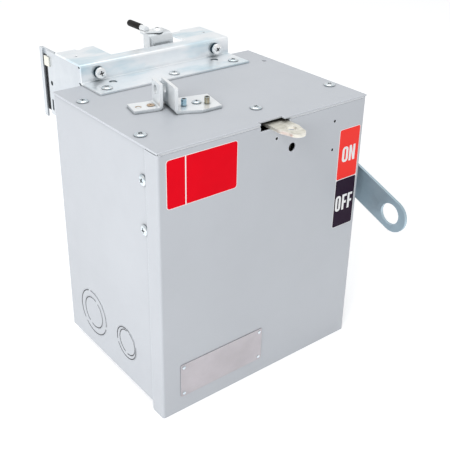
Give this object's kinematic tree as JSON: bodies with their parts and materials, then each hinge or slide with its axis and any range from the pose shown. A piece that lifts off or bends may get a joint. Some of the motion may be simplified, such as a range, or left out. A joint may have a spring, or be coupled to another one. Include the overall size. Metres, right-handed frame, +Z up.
{
  "type": "busway tap off box",
  "caption": "Fusible switch tap off box for a busway: steel enclosure with drop-down cover, plated plug-in head, clamp lever and hook-stick handle on the side.",
  "frame": {"origin": "centre of the underside of the enclosure body", "axes": "+Z up, +Y back towards the busway, +X to the right seen from the cover side"},
  "size_m": [0.2633, 0.3213, 0.3095],
  "materials": {
    "painted_steel": "satin powder coat, light blue grey",
    "zinc": "bright blue zinc plate",
    "dull_zinc": "dull zinc plate",
    "yellow_zinc": "pale yellow chromate on zinc",
    "copper": "bare copper strip",
    "tinned_copper": "tin plate",
    "brass": "plain brass",
    "black_plastic": "moulded black",
    "phenolic": "moulded phenolic",
    "fibre": "red glass polyester sheet",
    "fuse_tube": "wound glass tube"
  },
  "bodies": {
    "enclosure": {"enclosure_body": "painted_steel", "top_panel": "painted_steel", "hinge_body_leaf": "zinc", "hinge_pin": "zinc", "side_stiffeners": "zinc", "side_screws": "zinc", "top_screws": "zinc", "latch_screw": "zinc", "latch_spacer": "zinc", "latch_nut": "zinc", "padlock_ear_left": "zinc", "padlock_ear_right": "zinc", "ear_screws": "zinc", "ear_posts": "brass", "head_bracket": "zinc", "bracket_screws": "zinc", "bracket_nuts": "zinc", "left_side_plate": "zinc", "right_side_plate": "zinc", "head_screws": "zinc", "head_nuts": "zinc", "stab_block": "black_plastic", "stab_fingers": "tinned_copper", "stab_bolts": "zinc", "hook_liner": "black_plastic", "ground_clip": "brass", "clamp_bracket": "zinc", "shaft_bushing": "brass", "link_pin": "zinc", "stop_pins": "zinc", "bearing_plate": "zinc", "mechanism_plate": "zinc", "switch_base": "phenolic", "phase_barriers": "fibre", "line_straps": "copper", "load_straps": "copper", "fuse_base": "phenolic", "fuse_clips": "tinned_copper", "fuse_tubes": "fuse_tube", "fuse_ferrules": "brass", "lower_terminals": "copper", "load_lugs": "tinned_copper", "lug_screws": "zinc"},
    "cover": {"cover": "painted_steel", "hinge_cover_leaf": "zinc"},
    "latch": {"cover_latch": "yellow_zinc"},
    "clamp": {"clamp_lever": "zinc", "clamp_grip": "black_plastic", "clamp_shaft": "zinc", "clamp_dog": "zinc"},
    "switch_drive": {"operating_handle": "dull_zinc", "handle_washer": "zinc", "handle_nut": "zinc", "operating_shaft": "zinc", "pivot_stub": "zinc", "crossbar": "phenolic", "switch_blades": "copper", "crank_arm": "zinc"},
    "toggle_link": {"spring_link": "zinc", "toggle_spring": "zinc"}
  },
  "joints": [
    {"name": "cover_hinge", "type": "hinge", "parent": "enclosure", "child": "cover", "pos_m": [0, -0.0848, -0.0022], "axis": [1, 0, 0], "range_deg": [0, 105]},
    {"name": "latch_swing", "type": "hinge", "parent": "enclosure", "child": "latch", "pos_m": [0.0095, -0.0559, 0.2611], "axis": [0, 0, 1], "range_deg": [-16, 0]},
    {"name": "clamp_turn", "type": "hinge", "parent": "enclosure", "child": "clamp", "pos_m": [0.019, 0.1175, 0.256], "axis": [0, 0, 1], "range_deg": [-90, 0]},
    {"name": "handle_turn", "type": "hinge", "parent": "enclosure", "child": "switch_drive", "pos_m": [0, -0.0345, 0.184], "axis": [-1, 0, 0], "range_deg": [0, 40.8]},
    {"name": "link_rock", "type": "hinge", "parent": "enclosure", "child": "toggle_link", "pos_m": [0.079, 0.0255, 0.184], "axis": [1, 0, 0], "range_deg": [0, 19.2]}
  ],
  "couplings": [
    {"joint": "link_rock", "follows": "handle_turn", "ratio": 0.47018}
  ]
}
